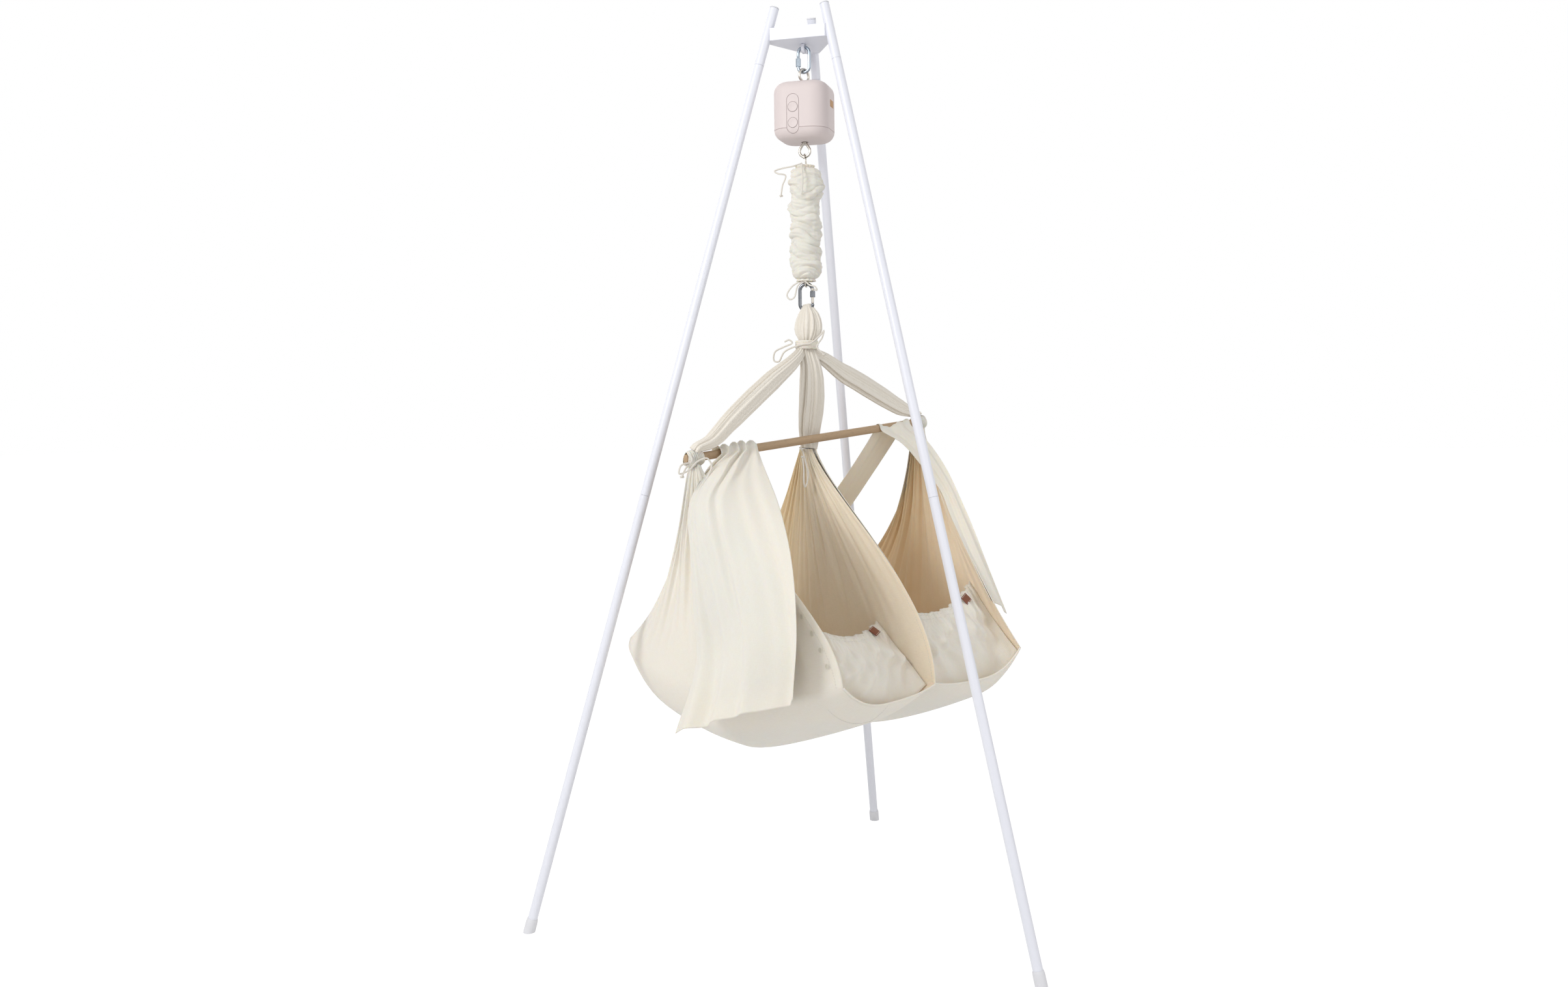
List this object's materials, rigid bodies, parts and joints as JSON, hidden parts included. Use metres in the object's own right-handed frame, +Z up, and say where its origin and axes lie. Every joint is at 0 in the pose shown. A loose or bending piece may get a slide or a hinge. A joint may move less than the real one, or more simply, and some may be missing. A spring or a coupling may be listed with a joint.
{
  "type": "twin baby hammock with stand",
  "caption": "Two cotton baby cradles side by side under an oak spreader bar, hung by a covered spring and a bouncing motor unit from a tall three-legged stand.",
  "frame": {"origin": "floor level, under the centre of the whole object's box", "axes": "+Z up; -Y towards the front between the two front legs, where the buttons of the motor unit face; +X to the viewer's right"},
  "size_m": [1.1916, 1.2304, 2.1226],
  "materials": {
    "white_paint": "satin white enamel with a cool tint",
    "white_plastic": "matt white moulded plastic",
    "zinc": "zinc plated, slightly blue",
    "warm_steel": "plain steel with a warm tone",
    "dark_chrome": "dark polished",
    "pink_shell": "fine matt, pale pink beige",
    "brown_tag": "flat brown tag, bare",
    "black_plastic": "matt black",
    "green_board": "green solder mask",
    "cotton": "undyed cotton muslin, matt",
    "lining": "undyed cotton over a soft pad",
    "leather": "smooth red brown leather",
    "oak": "oiled oak, grain along the bar"
  },
  "bodies": {
    "stand": {"leg_lower_left": "white_paint", "leg_lower_right": "white_paint", "leg_lower_rear": "white_paint", "leg_upper_left": "white_paint", "leg_upper_right": "white_paint", "leg_upper_rear": "white_paint", "leg_stub_left": "white_paint", "leg_stub_right": "white_paint", "leg_stub_rear": "white_paint", "stub_cap_left": "white_plastic", "stub_cap_right": "white_plastic", "stub_cap_rear": "white_plastic", "foot_cap_left": "white_plastic", "foot_cap_right": "white_plastic", "foot_cap_rear": "white_plastic", "head_bracket": "white_paint", "hook_tab": "white_paint"},
    "quick_link": {"quick_link_body": "zinc"},
    "link_nut": {"quick_link_nut": "zinc"},
    "motor_unit": {"motor_eye": "warm_steel", "motor_housing_upper": "pink_shell", "motor_housing_lower": "pink_shell", "control_panel": "pink_shell", "side_tag": "brown_tag", "motor_frame": "zinc", "gear_motor": "warm_steel", "circuit_board": "green_board", "battery_pack": "black_plastic"},
    "upper_button": {"button_upper": "pink_shell"},
    "lower_button": {"button_lower": "pink_shell"},
    "lift": {"lift_rod": "warm_steel"},
    "crank": {"crank_wheel": "black_plastic"},
    "suspension": {"spring": "warm_steel", "spring_cover": "cotton", "cover_cord_top": "cotton"},
    "carabiner": {"carabiner_body": "dark_chrome", "cover_cord_bottom": "cotton"},
    "gate": {"carabiner_gate": "warm_steel"},
    "gate_sleeve": {"carabiner_sleeve": "dark_chrome"},
    "hammock": {"sling_head": "cotton", "wrap_band": "cotton", "arm_left": "cotton", "arm_right": "cotton", "arm_middle": "cotton", "spreader_bar": "oak", "cradle_left": "cotton", "cradle_right": "cotton", "mattress_left": "lining", "mattress_right": "lining", "pocket_left": "cotton", "pocket_right": "cotton", "tag_left": "leather", "tag_right": "leather", "cover_cloth_left": "cotton", "cover_cloth_right": "cotton", "wrap_cord": "cotton", "tie_left": "cotton", "tie_middle": "cotton"}
  },
  "joints": [
    {"name": "link_swing", "type": "hinge", "parent": "stand", "child": "quick_link", "pos_m": [0, -0.064, 2.0317], "axis": [1, 0, 0], "range_deg": [-1.5, 1]},
    {"name": "nut_slide", "type": "slide", "parent": "quick_link", "child": "link_nut", "axis": [0, 0, 1], "range_m": [0, 0.0115]},
    {"name": "motor_swing", "type": "hinge", "parent": "quick_link", "child": "motor_unit", "pos_m": [0, -0.064, 1.9794], "axis": [0, 1, 0], "range_deg": [-1.5, 1.2]},
    {"name": "upper_button_press", "type": "slide", "parent": "motor_unit", "child": "upper_button", "axis": [0, 1, 0], "range_m": [0, 0.0012], "stiffness_N_per_m": 900, "springref_m": -0.001},
    {"name": "lower_button_press", "type": "slide", "parent": "motor_unit", "child": "lower_button", "axis": [0, 1, 0], "range_m": [0, 0.0012], "stiffness_N_per_m": 900, "springref_m": -0.001},
    {"name": "lift_stroke", "type": "slide", "parent": "motor_unit", "child": "lift", "axis": [0, 0, 1], "range_m": [-0.012, 0.004]},
    {"name": "crank_turn", "type": "hinge", "parent": "motor_unit", "child": "crank", "pos_m": [0, -0.064, 1.88], "axis": [0, -1, 0], "range_deg": [-34.38, 11.46]},
    {"name": "hammock_turn", "type": "hinge", "parent": "lift", "child": "suspension", "pos_m": [0, -0.064, 1.79], "axis": [0, 0, 1], "range_deg": [-6, 6]},
    {"name": "bounce", "type": "slide", "parent": "suspension", "child": "carabiner", "axis": [0, 0, 1], "range_m": [-0.1, 0.02], "stiffness_N_per_m": 700, "springref_m": 0.08, "deforming": ["spring", "spring_cover"]},
    {"name": "gate_open", "type": "hinge", "parent": "carabiner", "child": "gate", "pos_m": [0.0155, -0.064, 1.4427], "axis": [0, -1, 0], "range_deg": [0, 18], "stiffness_Nm_per_rad": 0.2, "springref_deg": -11.46},
    {"name": "sleeve_slide", "type": "slide", "parent": "gate", "child": "gate_sleeve", "axis": [0, 0, 1], "range_m": [-0.012, 0]},
    {"name": "hammock_rock", "type": "hinge", "parent": "carabiner", "child": "hammock", "pos_m": [0, -0.064, 1.4242], "axis": [-0.848, 0.5299, 0], "range_deg": [-1.6, 1.6]}
  ],
  "couplings": [
    {"joint": "crank_turn", "follows": "lift_stroke", "rad_per_m": 50}
  ]
}
